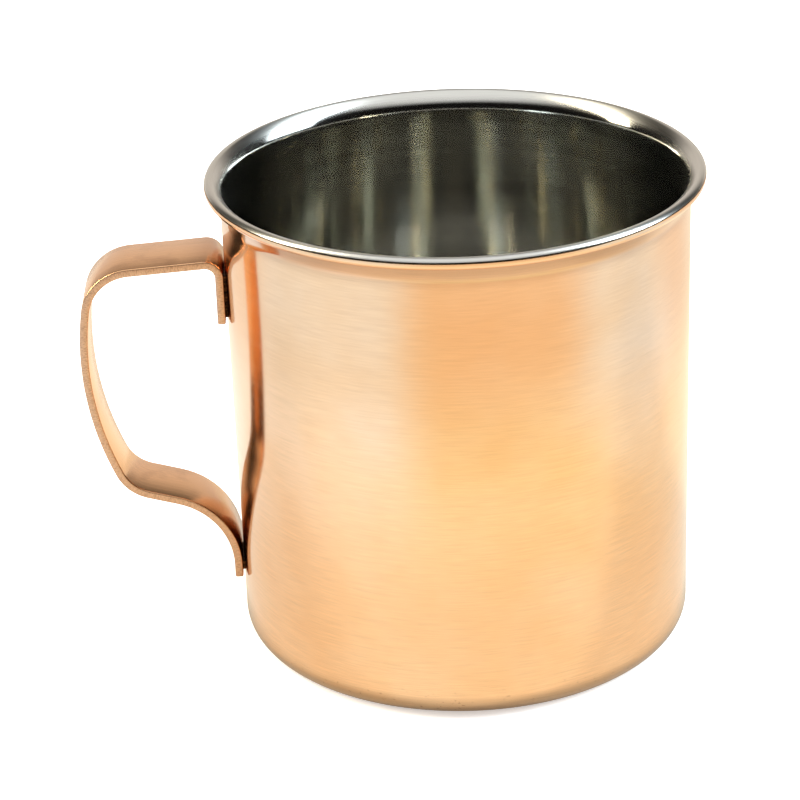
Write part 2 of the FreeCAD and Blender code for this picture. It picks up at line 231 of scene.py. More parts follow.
class MugStudio(bpy.types.PropertyGroup):
    """Camera and light."""

    camera_place: point("Camera", "Where the camera stands", (-0.0193, -0.5145, 0.27872))
    camera_aim: point("Aim", "The point that the camera looks at", (-0.01152, 0.00017, 0.04559))
    camera_roll: degrees("Camera roll", "Turn of the camera about its own axis", -2.121)
    camera_lens: amount("Lens", "Focal length in millimetres", 134.18, least=1.0)
    camera_sensor: amount("Sensor", "Width of the sensor in millimetres", 36.0, least=1.0)
    sky: amount("Room light", "Brightness of the studio around the mug", 1.3)
    room_top: colour("Light overhead", "Broad white light over the mug", "#FFFFFF")
    room_back: colour("Room behind", "Room behind the mug, near the horizon", "#D2C8BE")
    room_front: colour("Room in front", "Dark room in front of the mug and beside it", "#121110")
    left_lamp: degrees("Left lamp", "Direction of the left lamp, from straight behind", -86.0)
    left_reach: degrees("Left lamp width", "How far the left lamp reaches to each side", 5.0)
    left_power: amount("Left lamp power", "Brightness beside the light overhead", 21.0)
    right_lamp: degrees("Right lamp", "Direction of the right lamp, from straight behind", 91.0)
    right_reach: degrees("Right lamp width", "How far the right lamp reaches to each side", 11.0)
    right_power: amount("Right lamp power", "Brightness beside the light overhead", 13.0)
    lamp_foot: degrees("Lamp foot", "Height of both lamps' lower ends above the horizon", 12.0)
    lamp_top: degrees("Lamp top", "Height of both lamps' upper ends above the horizon", 58.0)
    left_tint: colour("Left lamp colour", "Warm daylight from the left", "#FFF4DC")
    right_tint: colour("Right lamp colour", "Cool daylight from the right", "#EAF6FF")


# -------- ways of working


def clear_selection():
    """Leaves edit mode and deselects everything."""
    if bpy.context.object and bpy.context.object.mode != "OBJECT":
        bpy.ops.object.mode_set(mode="OBJECT")
    bpy.ops.object.select_all(action="DESELECT")


def straight(start, end, step):
    """Points of a straight run, spaced evenly about a step apart, without its first."""
    count = max(1, round(math.dist(start, end) / step))
    return [
        tuple(a + (b - a) * i / count for a, b in zip(start, end)) for i in range(1, count + 1)
    ]


def bend(centre, radius, begin, end, steps):
    """Points of an arc from one angle to another, in radians, without its first."""
    angles = [begin + (end - begin) * i / steps for i in range(1, steps + 1)]
    return [(centre[0] + radius * math.cos(a), centre[1] + radius * math.sin(a)) for a in angles]


def turn_on_lathe(name, outline, around, axis_normal):
    """Draws a point out along the outline, spins it round the mug's axis and closes the seam.

    axis_normal is +1 or -1: which way along Z the skin faces where it crosses the axis.
    """
    clear_selection()
    first = outline[0]
    bpy.ops.mesh.primitive_circle_add(vertices=3, radius=MM)
    piece = bpy.context.object
    piece.name = piece.data.name = name
    bpy.ops.object.mode_set(mode="EDIT")
    bpy.ops.mesh.merge(type="CENTER")
    bpy.ops.transform.translate(value=(first[0], 0, first[1]))
    for before, after in zip(outline, outline[1:]):
        move = (after[0] - before[0], 0, after[1] - before[1])
        bpy.ops.mesh.extrude_region_move(TRANSFORM_OT_translate={"value": move})
    bpy.ops.mesh.select_all(action="SELECT")
    bpy.ops.mesh.spin(steps=around, angle=2 * math.pi, center=(0, 0, 0), axis=(0, 0, 1))
    bpy.ops.mesh.select_all(action="SELECT")
    bpy.ops.mesh.remove_doubles(threshold=SAME_POINT)
    bpy.ops.mesh.normals_make_consistent(inside=False)
    bpy.ops.object.mode_set(mode="OBJECT")
    middle = min(piece.data.polygons, key=lambda face: face.center.xy.length)
    if middle.normal.z * axis_normal < 0:
        bpy.ops.object.mode_set(mode="EDIT")
        bpy.ops.mesh.flip_normals()
        bpy.ops.object.mode_set(mode="OBJECT")
    return piece


def give_thickness(piece, thickness):
    """Turns a skin into sheet metal, inwards from its face."""
    solidify = piece.modifiers.new("Sheet", "SOLIDIFY")
    solidify.thickness = thickness
    solidify.offset = -1
    solidify.use_even_offset = True
    bpy.ops.object.modifier_apply(modifier=solidify.name)


def round_edges(piece, width):
    """Rounds the sharp edges of a piece."""
    bevel = piece.modifiers.new("Edges", "BEVEL")
    bevel.width = width
    bevel.segments = ROUND_STEPS
    bevel.limit_method = "ANGLE"
    bevel.angle_limit = ROUND_ABOVE
    bpy.ops.object.modifier_apply(modifier=bevel.name)


def finish_piece(piece, material, node):
    """Smooths a piece, gives it its material and fixes it to the mug in place of its CAD node."""
    bpy.ops.object.shade_smooth_by_angle(angle=SMOOTH_BELOW)
    piece.data.materials.clear()
    piece.data.materials.append(material)
    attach(piece, BODY)
    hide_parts(node)


def new_material(name):
    """An empty node material and its tree."""
    material = bpy.data.materials.new(name)
    material.use_nodes = True
    material.node_tree.nodes.clear()
    return material, material.node_tree


def add_node(tree, kind, inputs=None, **settings):
    """Adds one node with its settings; inputs gives each socket a value or a socket to link."""
    made = tree.nodes.new(kind)
    for name, value in settings.items():
        setattr(made, name, value)
    for socket, value in (inputs or {}).items():
        if isinstance(value, bpy.types.NodeSocket):
            tree.links.new(value, made.inputs[socket])
        else:
            made.inputs[socket].default_value = value
    return made


# -------- outlines of the two cups


def wall_radius(cup, height):
    """Outside radius of the copper wall at a height."""
    return cup.foot_radius + (height - cup.corner_radius) * math.tan(cup.wall_taper)


def roll_centre(cup):
    """Centre of the rolled rim's section."""
    return cup.rim_radius - cup.roll_radius, cup.height - cup.roll_radius


def foot_outline(cup, inward):
    """Section of the base and its corner, from the axis to the wall, moved in from outside."""
    corner = (cup.foot_radius - cup.corner_radius, cup.corner_radius)
    points = [(0.0, inward)]
    points += straight(points[0], (corner[0], inward), BASE_SPACING)
    radius = cup.corner_radius - inward
    points += bend(corner, radius, -math.pi / 2, -cup.wall_taper, CORNER_STEPS)
    return points


def flare_centre(cup):
    """Centre of the copper wall's outward bend: flare_radius off the wall and the lip's line."""
    roll = roll_centre(cup)
    lean, taper = cup.flare_angle, cup.wall_taper
    # The lip's outside passes the roll's centre at this distance, on the side of the axis.
    hollow = cup.roll_radius - 2 * cup.sheet
    level = roll[0] - hollow / math.cos(lean) - roll[1] * math.tan(lean)
    beside_lip = level + cup.flare_radius / math.cos(lean)
    beside_wall = wall_radius(cup, 0) + cup.flare_radius / math.cos(taper)
    z = (beside_wall - beside_lip) / (math.tan(lean) - math.tan(taper))
    return beside_wall + z * math.tan(taper), z


def copper_outline(cup):
    """Outside of the copper cup: base, corner, wall, flare, groove and the roll's lower half."""
    roll, centre = roll_centre(cup), flare_centre(cup)
    lean, taper = cup.flare_angle, cup.wall_taper
    points = foot_outline(cup, 0.0)
    wall_end = bend(centre, cup.flare_radius, math.pi, math.pi - taper, 1)[0]
    points += straight(points[-1], wall_end, WALL_SPACING)
    points += bend(centre, cup.flare_radius, math.pi - taper, math.pi - lean, FLARE_STEPS)

    # The lip's line meets the roll's circle in a groove, which a small fillet softens.
    lip, along = points[-1], (math.sin(lean), math.cos(lean))
    to_roll = (roll[0] - lip[0], roll[1] - lip[1])
    run = to_roll[0] * along[0] + to_roll[1] * along[1]
    aside = to_roll[0] * along[1] - to_roll[1] * along[0]
    fillet, radius = cup.root_fillet, cup.roll_radius
    reach = math.sqrt((radius + fillet) ** 2 - (aside - fillet) ** 2)
    groove = (
        lip[0] + along[0] * (run - reach) + along[1] * fillet,
        lip[1] + along[1] * (run - reach) - along[0] * fillet,
    )
    begin = math.atan2(along[0], -along[1])
    touch = math.atan2(roll[1] - groove[1], roll[0] - groove[0])
    root = (groove[0] + fillet * math.cos(begin), groove[1] + fillet * math.sin(begin))
    points += straight(lip, root, LIP_SPACING)
    points += bend(groove, fillet, begin, touch, GROOVE_STEPS)
    points += bend(roll, radius, touch - math.pi, cup.copper_edge, ROLL_STEPS)
    return points


def steel_outline(cup):
    """Cup side of the steel lining: floor, corner, wall, sweeping lip and the roll's upper half."""
    roll, inward = roll_centre(cup), 2 * cup.sheet
    lean, taper = cup.lip_angle, cup.wall_taper
    points = foot_outline(cup, inward)
    # One bend sweeps from the wall to the roll and touches both.
    meet = bend(roll, cup.roll_radius, 0, math.pi - lean, 1)[0]
    wall = wall_radius(cup, meet[1]) - inward
    sweep = (meet[0] - wall) / (1 - math.cos(lean) - math.sin(lean) * math.tan(taper))
    centre = (meet[0] + sweep * math.cos(lean), meet[1] - sweep * math.sin(lean))
    wall_end = bend(centre, sweep, math.pi, math.pi - taper, 1)[0]
    points += straight(points[-1], wall_end, WALL_SPACING)
    points += bend(centre, sweep, math.pi - taper, math.pi - lean, SWEEP_STEPS)
    points += bend(roll, cup.roll_radius, math.pi - lean, cup.steel_edge, ROLL_STEPS)
    return points


# -------- metals


def lathe_lines(tree, across, along, detail):
    """Noise drawn out into fine rings round the mug's axis, on wall, base and rim alike.

    across is the spacing of the rings and along their usual length.
    """
    place = add_node(tree, "ShaderNodeTexCoord").outputs["Object"]
    split = add_node(tree, "ShaderNodeSeparateXYZ", {0: place})
    flat = add_node(
        tree, "ShaderNodeCombineXYZ", {"X": split.outputs["X"], "Y": split.outputs["Y"]}
    )
    radius = add_node(tree, "ShaderNodeVectorMath", {0: flat.outputs[0]}, operation="LENGTH")
    run = add_node(
        tree, "ShaderNodeMath", {0: radius.outputs["Value"], 1: split.outputs["Z"]},
        operation="ADD",
    )
    rings = add_node(
        tree, "ShaderNodeCombineXYZ",
        {"X": split.outputs["X"], "Y": split.outputs["Y"], "Z": run.outputs[0]},
    )
    stretched = add_node(
        tree, "ShaderNodeVectorMath",
        {0: rings.outputs[0], 1: (1 / along, 1 / along, 1 / across)}, operation="MULTIPLY",
    )
    noise = add_node(
        tree, "ShaderNodeTexNoise",
        {"Vector": stretched.outputs[0], "Scale": 1.0, "Detail": detail},
    )
    return noise.outputs["Fac"]


def brushed_lacquered_copper(finish):
    """Copper sheet spun to shape, brushed round on the lathe and lacquered.

    The eye sees a warm mirror with soft level lines that draw its reflections out up and down.
    """
    material, tree = new_material("brushed_lacquered_copper")
    # Brush lines are about 0.05 mm apart; they are drawn 0.2 mm apart so that they show.
    fine = lathe_lines(tree, across=0.2 * MM, along=6 * MM, detail=4.0)
    broad = lathe_lines(tree, across=2.2 * MM, along=60 * MM, detail=2.0)
    place = add_node(tree, "ShaderNodeTexCoord").outputs["Object"]
    cloud = add_node(
        tree, "ShaderNodeTexNoise", {"Vector": place, "Scale": 1 / (18 * MM), "Detail": 3.0}
    )
    shade = add_node(
        tree, "ShaderNodeMapRange",
        {"Value": cloud.outputs["Fac"], "From Min": 0.35, "From Max": 0.65, "To Max": 0.7},
    )
    toned = add_node(
        tree, "ShaderNodeMix",
        {0: shade.outputs[0], 6: (*finish.copper, 1), 7: (*finish.copper_warm, 1)},
        data_type="RGBA",
    )
    # Painted shade darkens the groove under the rim; real oxide specks lie near the base.
    split = add_node(tree, "ShaderNodeSeparateXYZ", {0: place})
    under_rim_shade = add_node(
        tree, "ShaderNodeMapRange",
        {
            "Value": split.outputs["Z"], "From Min": UNDER_RIM_UNSHADED, "From Max": UNDER_RIM_SHADED,
            "To Max": 0.5,
        },
        interpolation_type="SMOOTHSTEP",
    )
    below_roll_shade = add_node(
        tree, "ShaderNodeMapRange",
        {"Value": split.outputs["Z"], "From Min": ROLL_UNSHADED, "From Max": ROLL_SHADED},
    )
    # Painted shade under the rim: full between the two heights above, none on the roll.
    groove = add_node(
        tree, "ShaderNodeMath", {0: under_rim_shade.outputs[0], 1: below_roll_shade.outputs[0]},
        operation="MULTIPLY",
    )
    specks = add_node(
        tree, "ShaderNodeTexNoise", {"Vector": place, "Scale": 1 / (0.7 * MM), "Detail": 2.0}
    )
    speck = add_node(
        tree, "ShaderNodeMapRange",
        {"Value": specks.outputs["Fac"], "From Min": 0.66, "From Max": 0.72, "To Max": 0.5},
    )
    low_down = add_node(
        tree, "ShaderNodeMapRange",
        {"Value": split.outputs["Z"], "From Min": SPECKS_END, "From Max": SPECKS_FULL},
    )
    specked = add_node(
        tree, "ShaderNodeMath", {0: speck.outputs[0], 1: low_down.outputs[0]},
        operation="MULTIPLY",
    )
    shade_and_specks = add_node(
        tree, "ShaderNodeMath", {0: groove.outputs[0], 1: specked.outputs[0]},
        operation="ADD",
    )
    shaded_and_specked = add_node(
        tree, "ShaderNodeMix",
        {0: shade_and_specks.outputs[0], 6: toned.outputs[2], 7: (*finish.tarnish_and_shade, 1)}, data_type="RGBA",
    )
    lined = add_node(
        tree, "ShaderNodeMapRange",
        {"Value": fine, "From Min": 0.3, "From Max": 0.7, "To Min": 0.89},
    )
    base_colour = add_node(
        tree, "ShaderNodeVectorMath", {0: shaded_and_specked.outputs[2], 1: lined.outputs[0]},
        operation="MULTIPLY",
    )
    roughness = add_node(
        tree, "ShaderNodeMapRange",
        {"Value": broad, "From Min": 0.3, "From Max": 0.7, "To Min": 0.12, "To Max": 0.17},
    )
    bump = add_node(
        tree, "ShaderNodeBump", {"Strength": 0.07, "Distance": 0.02 * MM, "Height": fine}
    )
    tangent = add_node(tree, "ShaderNodeTangent", direction_type="RADIAL", axis="Z")
    metal = add_node(
        tree, "ShaderNodeBsdfPrincipled",
        {
            "Base Color": base_colour.outputs[0], "Metallic": 1.0,
            "Roughness": roughness.outputs[0], "Normal": bump.outputs[0],
            "Anisotropic": 0.7, "Anisotropic Rotation": 0.25, "Tangent": tangent.outputs[0],
            "Coat Weight": 0.5, "Coat Roughness": 0.03,
        },
    )
    add_node(tree, "ShaderNodeOutputMaterial", {"Surface": metal.outputs[0]})
    return material


def brushed_stainless_steel(finish):
    """Stainless steel sheet, spun to shape and brushed round on the lathe.

    The eye sees a cool dark grey mirror with upright streaks of light across its fine rings.
    """
    material, tree = new_material("brushed_stainless_steel")
    # Brush lines are about 0.05 mm apart; they are drawn 0.3 mm apart so that they show.
    fine = lathe_lines(tree, across=0.3 * MM, along=10 * MM, detail=3.0)
    broad = lathe_lines(tree, across=1.8 * MM, along=50 * MM, detail=2.0)
    lined = add_node(
        tree, "ShaderNodeMapRange",
        {"Value": fine, "From Min": 0.3, "From Max": 0.7, "To Min": 0.93},
    )
    base_colour = add_node(
        tree, "ShaderNodeVectorMath", {0: finish.steel[:], 1: lined.outputs[0]},
        operation="MULTIPLY",
    )
    roughness = add_node(
        tree, "ShaderNodeMapRange",
        {"Value": broad, "From Min": 0.3, "From Max": 0.7, "To Min": 0.075, "To Max": 0.11},
    )
    # The rolled rim is smoothed by hand and stays more matt than the lathe's work.
    height = add_node(
        tree, "ShaderNodeSeparateXYZ", {0: add_node(tree, "ShaderNodeTexCoord").outputs["Object"]}
    )
    by_hand = add_node(
        tree, "ShaderNodeMapRange",
        {
            "Value": height.outputs["Z"], "From Min": STEEL_BRUSHED, "From Max": STEEL_MATT,
            "To Max": 0.2,
        },
    )
    matt = add_node(
        tree, "ShaderNodeMath", {0: roughness.outputs[0], 1: by_hand.outputs[0]},
        operation="ADD",
    )
    bump = add_node(
        tree, "ShaderNodeBump", {"Strength": 0.08, "Distance": 0.02 * MM, "Height": fine}
    )
    tangent = add_node(tree, "ShaderNodeTangent", direction_type="RADIAL", axis="Z")
    metal = add_node(
        tree, "ShaderNodeBsdfPrincipled",
        {
            "Base Color": base_colour.outputs[0], "Metallic": 1.0,
            "Roughness": matt.outputs[0], "Normal": bump.outputs[0],
            "Anisotropic": 0.75, "Anisotropic Rotation": 0.25, "Tangent": tangent.outputs[0],
        },
    )
    add_node(tree, "ShaderNodeOutputMaterial", {"Surface": metal.outputs[0]})
    return material


def brushed_strap_copper(finish, half_width, whole_run):
    """Copper strap, brushed lengthwise on its faces, with edges sheared straight across.

    The eye sees soft lines along the faces and short cross marks on the browner edges. Both
    ends are darkened by painted shade where they meet the wall, and old polish has left cloudy
    brown spots.
    """
    material, tree = new_material("brushed_strap_copper")
    strap = add_node(
        tree, "ShaderNodeAttribute", attribute_name=STRAP_RUN, attribute_type="GEOMETRY"
    )
    brushed = add_node(
        tree, "ShaderNodeVectorMath",
        {0: strap.outputs["Vector"], 1: [1 / size for size in FACE_MARKS]}, operation="MULTIPLY",
    )
    lines = add_node(
        tree, "ShaderNodeTexNoise",
        {"Vector": brushed.outputs[0], "Scale": 1.0, "Detail": 3.0},
    )
    sheared = add_node(
        tree, "ShaderNodeVectorMath",
        {0: strap.outputs["Vector"], 1: [1 / size for size in EDGE_MARKS]}, operation="MULTIPLY",
    )
    marks = add_node(
        tree, "ShaderNodeTexNoise",
        {"Vector": sheared.outputs[0], "Scale": 1.0, "Detail": 2.0},
    )
    split = add_node(tree, "ShaderNodeSeparateXYZ", {0: strap.outputs["Vector"]})
    side = add_node(tree, "ShaderNodeMath", {0: split.outputs["Y"]}, operation="ABSOLUTE")
    on_edge = add_node(
        tree, "ShaderNodeMapRange",
        {
            "Value": side.outputs[0], "From Min": half_width - FACE_ENDS,
            "From Max": half_width - EDGE_BEGINS,
        },
    )
    height = add_node(
        tree, "ShaderNodeMix",
        {0: on_edge.outputs[0], 2: lines.outputs["Fac"], 3: marks.outputs["Fac"]},
        data_type="FLOAT",
    )
    edge_shade = add_node(
        tree, "ShaderNodeMapRange",
        {"Value": marks.outputs["Fac"], "From Min": 0.42, "From Max": 0.7, "To Max": 0.5},
    )
    edge_colour = add_node(
        tree, "ShaderNodeMix",
        {0: edge_shade.outputs[0], 6: (*finish.strap_edge, 1), 7: (*finish.tarnish_and_shade, 1)},
        data_type="RGBA",
    )
    lined = add_node(
        tree, "ShaderNodeMapRange",
        {"Value": lines.outputs["Fac"], "From Min": 0.3, "From Max": 0.7, "To Min": 0.9},
    )
    to_end = add_node(
        tree, "ShaderNodeMath", {0: whole_run, 1: split.outputs["X"]}, operation="SUBTRACT"
    )
    to_joint = add_node(
        tree, "ShaderNodeMath", {0: split.outputs["X"], 1: to_end.outputs[0]},
        operation="MINIMUM",
    )
    # Painted shade darkens both ends of the strap, where they meet the wall.
    joint_shade = add_node(
        tree, "ShaderNodeMapRange",
        {
            "Value": to_joint.outputs[0], "From Min": JOINT_SHADE_END, "From Max": JOINT_SHADE_FULL,
            "To Max": 0.8,
        },
        interpolation_type="SMOOTHSTEP",
    )
    spots = add_node(
        tree, "ShaderNodeTexNoise",
        {"Vector": strap.outputs["Vector"], "Scale": 1 / (7 * MM), "Detail": 4.0},
    )
    spotted = add_node(
        tree, "ShaderNodeMapRange",
        {"Value": spots.outputs["Fac"], "From Min": 0.5, "From Max": 0.75, "To Max": 0.28},
        interpolation_type="SMOOTHSTEP",
    )
    shade_and_spots = add_node(
        tree, "ShaderNodeMath", {0: joint_shade.outputs[0], 1: spotted.outputs[0]},
        operation="MAXIMUM",
    )
    toned = add_node(
        tree, "ShaderNodeMix",
        {0: shade_and_spots.outputs[0], 6: (*finish.strap, 1), 7: (*finish.tarnish_and_shade, 1)},
        data_type="RGBA",
    )
    face_colour = add_node(
        tree, "ShaderNodeVectorMath", {0: toned.outputs[2], 1: lined.outputs[0]},
        operation="MULTIPLY",
    )
    base_colour = add_node(
        tree, "ShaderNodeMix",
        {0: on_edge.outputs[0], 6: face_colour.outputs[0], 7: edge_colour.outputs[2]},
        data_type="RGBA",
    )
    roughness = add_node(
        tree, "ShaderNodeMapRange",
        {"Value": on_edge.outputs[0], "To Min": 0.2, "To Max": 0.34},
    )
    bump = add_node(
        tree, "ShaderNodeBump",
        {"Strength": 0.3, "Distance": 0.03 * MM, "Height": height.outputs[0]},
    )
    metal = add_node(
        tree, "ShaderNodeBsdfPrincipled",
        {
            "Base Color": base_colour.outputs[2], "Metallic": 1.0,
            "Roughness": roughness.outputs[0], "Normal": bump.outputs[0],
            "Coat Weight": 0.15, "Coat Roughness": 0.1,
        },
    )
    add_node(tree, "ShaderNodeOutputMaterial", {"Surface": metal.outputs[0]})
    return material


def braze_filler(finish):
    """Copper-phosphorus braze that has run between strap and wall and frozen.

    The eye sees a dark grainy line: brown braze under black painted shade, which stands for the
    shade in the gap between strap and wall.
    """
    material, tree = new_material("braze_filler")
    place = add_node(tree, "ShaderNodeTexCoord").outputs["Object"]
    grain = add_node(
        tree, "ShaderNodeTexNoise", {"Vector": place, "Scale": 1 / (0.5 * MM), "Detail": 3.0}
    )
    # Black painted shade of the gap between strap and wall, laid over the braze in grainy patches.
    gap_shade_mask = add_node(
        tree, "ShaderNodeMapRange",
        {"Value": grain.outputs["Fac"], "From Min": 0.3, "From Max": 0.55, "To Min": 0.3},
    )
    base_colour = add_node(
        tree, "ShaderNodeMix",
        {0: gap_shade_mask.outputs[0], 6: (*finish.braze, 1), 7: (*finish.gap_shade, 1)},
        data_type="RGBA",
    )
    bump = add_node(
        tree, "ShaderNodeBump",
        {"Strength": 0.5, "Distance": 0.05 * MM, "Height": grain.outputs["Fac"]},
    )
    metal = add_node(
        tree, "ShaderNodeBsdfPrincipled",
        {
            "Base Color": base_colour.outputs[2], "Metallic": 1.0, "Roughness": 0.4,
            "Normal": bump.outputs[0],
        },
    )
    add_node(tree, "ShaderNodeOutputMaterial", {"Surface": metal.outputs[0]})
    return material


def white_paper(finish):
    """Matt white paper, lit until it is white all over.

    The eye sees a plain white floor with only a breath of shade where the mug stands. What the
    metal mirrors of it carries painted light and shade: cooler light at both sides, brown painted
    shade far in front and behind, and grey painted shade close to the foot.
    """
    material, tree = new_material("white_paper")
    place = add_node(tree, "ShaderNodeTexCoord").outputs["Object"]
    split = add_node(tree, "ShaderNodeSeparateXYZ", {0: place})
    # The cool side light reaches further in from the left than from the right.
    shifted = add_node(
        tree, "ShaderNodeMath", {0: split.outputs["X"], 1: SIDE_LIGHT_MIDDLE},
        operation="SUBTRACT",
    )
    sideways = add_node(tree, "ShaderNodeMath", {0: shifted.outputs[0]}, operation="ABSOLUTE")
    beside = add_node(
        tree, "ShaderNodeMapRange",
        {
            "Value": sideways.outputs[0], "From Min": SIDE_LIGHT_BEGINS,
            "From Max": SIDE_LIGHT_FULL,
        },
        interpolation_type="SMOOTHSTEP",
    )
    mirrored = add_node(
        tree, "ShaderNodeMix",
        {0: beside.outputs[0], 6: (*finish.paper_front, 1), 7: (*finish.paper_side, 1)},
        data_type="RGBA",
    )
    out = add_node(tree, "ShaderNodeVectorMath", {0: place}, operation="LENGTH")
    far = add_node(
        tree, "ShaderNodeMapRange",
        {
            "Value": out.outputs["Value"], "From Min": FRONT_SHADE_BEGINS,
            "From Max": FRONT_SHADE_FULL,
        },
        interpolation_type="SMOOTHSTEP",
    )
    towards = add_node(tree, "ShaderNodeVectorMath", {0: place}, operation="NORMALIZE")
    # The brown shade lies in front of the mug and a little to the right.
    in_front = add_node(
        tree, "ShaderNodeVectorMath", {0: towards.outputs[0], 1: (0.26, -0.966, 0)},
        operation="DOT_PRODUCT",
    )
    across = add_node(
        tree, "ShaderNodeMapRange",
        {"Value": in_front.outputs["Value"], "From Min": 0.6, "From Max": 0.97},
        interpolation_type="SMOOTHSTEP",
    )
    shaded = add_node(
        tree, "ShaderNodeMath", {0: far.outputs[0], 1: across.outputs[0]}, operation="MULTIPLY"
    )
    toned = add_node(
        tree, "ShaderNodeMix",
        {0: shaded.outputs[0], 6: mirrored.outputs[2], 7: (*finish.paper_shade, 1)},
        data_type="RGBA",
    )
    rear = add_node(
        tree, "ShaderNodeMapRange",
        {"Value": split.outputs["Y"], "From Max": REAR_SHADE_FULL, "To Max": 0.8},
        interpolation_type="SMOOTHSTEP",
    )
    rear_toned = add_node(
        tree, "ShaderNodeMix",
        {0: rear.outputs[0], 6: toned.outputs[2], 7: (*finish.paper_shade, 1)},
        data_type="RGBA",
    )
    close = add_node(
        tree, "ShaderNodeMapRange",
        {
            "Value": out.outputs["Value"], "From Min": NEAR_SHADE_ENDS,
            "From Max": NEAR_SHADE_FULL,
        },
        interpolation_type="SMOOTHSTEP",
    )
    lit = add_node(
        tree, "ShaderNodeMix",
        {0: close.outputs[0], 6: rear_toned.outputs[2], 7: (*finish.paper_near, 1)},
        data_type="RGBA",
    )
    # The paper itself is plain white; the painted light and shade above are only in what the metal
    # mirrors.
    seen = add_node(tree, "ShaderNodeLightPath").outputs["Is Camera Ray"]
    base_colour = add_node(
        tree, "ShaderNodeMix", {0: seen, 6: lit.outputs[2], 7: (*finish.paper, 1)},
        data_type="RGBA",
    )
    diffuse = add_node(tree, "ShaderNodeBsdfDiffuse", {"Color": base_colour.outputs[2]})
    # A painted glow, standing for light from all sides, keeps the paper bright right up to the
    # foot.
    kept_bright = add_node(
        tree, "ShaderNodeMapRange",
        {
            "Value": out.outputs["Value"], "From Min": GLOW_ENDS, "From Max": GLOW_FULL,
            "To Max": 0.66,
        },
        interpolation_type="SMOOTHSTEP",
    )
    # Only the last few millimetres, under the base's round corner, stay in shade.
    contact = add_node(
        tree, "ShaderNodeMapRange",
        {
            "Value": out.outputs["Value"], "From Min": CONTACT_BEGINS, "From Max": CONTACT_ENDS,
            "To Min": 0.3,
        },
    )
    reached = add_node(
        tree, "ShaderNodeMath", {0: kept_bright.outputs[0], 1: contact.outputs[0]},
        operation="MULTIPLY",
    )
    strength = add_node(
        tree, "ShaderNodeMix", {0: seen, 2: reached.outputs[0], 3: 0.5}, data_type="FLOAT"
    )
    plain = add_node(
        tree, "ShaderNodeMath", {0: seen, 1: beside.outputs[0]}, operation="MAXIMUM"
    )
    glow_colour = add_node(
        tree, "ShaderNodeMix",
        {0: plain.outputs[0], 6: (*finish.paper_glow, 1), 7: (*finish.paper, 1)},
        data_type="RGBA",
    )
    glow = add_node(
        tree, "ShaderNodeEmission",
        {"Color": glow_colour.outputs[2], "Strength": strength.outputs[0]},
    )
    both = add_node(tree, "ShaderNodeAddShader", {0: diffuse.outputs[0], 1: glow.outputs[0]})
    add_node(tree, "ShaderNodeOutputMaterial", {"Surface": both.outputs[0]})
    return material


# -------- operators


class MUG_OT_copper_shell(bpy.types.Operator):
    """Turns the outer copper cup, with the lower half of the rim roll."""

    bl_idname = "mug.copper_shell"
    bl_label = "Copper cup"

    def execute(self, context):
        cup, finish = context.scene.mug_cup, context.scene.mug_finish
        outline = copper_outline(cup)
        piece = turn_on_lathe("outer_copper_cup", outline, cup.around, axis_normal=-1)
        give_thickness(piece, cup.sheet - cup.clearance)
        finish_piece(piece, brushed_lacquered_copper(finish), "copper_shell")
        return {"FINISHED"}


class MUG_OT_steel_liner(bpy.types.Operator):
    """Turns the inner steel cup, whose lip is rolled over the copper's."""

    bl_idname = "mug.steel_liner"
    bl_label = "Steel lining"

    def execute(self, context):
        cup, finish = context.scene.mug_cup, context.scene.mug_finish
        outline = steel_outline(cup)
        piece = turn_on_lathe("inner_steel_cup", outline, cup.around, axis_normal=1)
        give_thickness(piece, cup.sheet - cup.clearance)
        finish_piece(piece, brushed_stainless_steel(finish), "steel_liner")
        return {"FINISHED"}


class StrapBender:
    """Bends a strap in the XZ plane, run by run, and remembers its mid-line."""

    def __init__(self, place, heading):
        self.place = Vector(place)
        self.heading = heading
        self.run = 0.0
        self.stations = [(self.run, self.place.copy(), heading)]

    def direction(self):
        """The way in which the strap's end points."""
        return Vector((math.cos(self.heading), 0, math.sin(self.heading)))

    def remember(self, gone):
        """Adds a station where the strap's end is now, that much further along it."""
        self.run += gone
        self.stations.append((self.run, self.place.copy(), self.heading))

    def go(self, distance, steps):
        """Extrudes the strap's end straight on."""
        move = self.direction() * (distance / steps)
        for _ in range(steps):
            bpy.ops.mesh.extrude_region_move(TRANSFORM_OT_translate={"value": move})
            self.place += move
            self.remember(distance / steps)

    def turn(self, radius, angle, steps):
        """Spins the strap's end through an angle, to the left where it is above zero."""
        side = math.copysign(1, angle)
        to_centre = Vector((-math.sin(self.heading), 0, math.cos(self.heading))) * radius * side
        centre = self.place + to_centre
        bpy.ops.mesh.spin(steps=steps, angle=abs(angle), center=centre, axis=(0, side, 0))
        for _ in range(steps):
            self.heading += angle / steps
            out = Vector((math.sin(self.heading), 0, -math.cos(self.heading))) * radius * side
            self.place = centre + out
            self.remember(radius * abs(angle) / steps)


def write_strap_run(piece, stations):
    """Stores at every vertex its place along, across and through the strap."""
    values = []
    for vertex in piece.data.vertices:
        run, middle, heading = min(
            stations, key=lambda station: (station[1] - vertex.co).xz.length
        )
        offset = vertex.co - middle
        along = run + offset.x * math.cos(heading) + offset.z * math.sin(heading)
        through = offset.z * math.cos(heading) - offset.x * math.sin(heading)
        values += [along, vertex.co.y, through]
    attribute = piece.data.attributes.new(STRAP_RUN, "FLOAT_VECTOR", "POINT")
    attribute.data.foreach_set("vector", values)


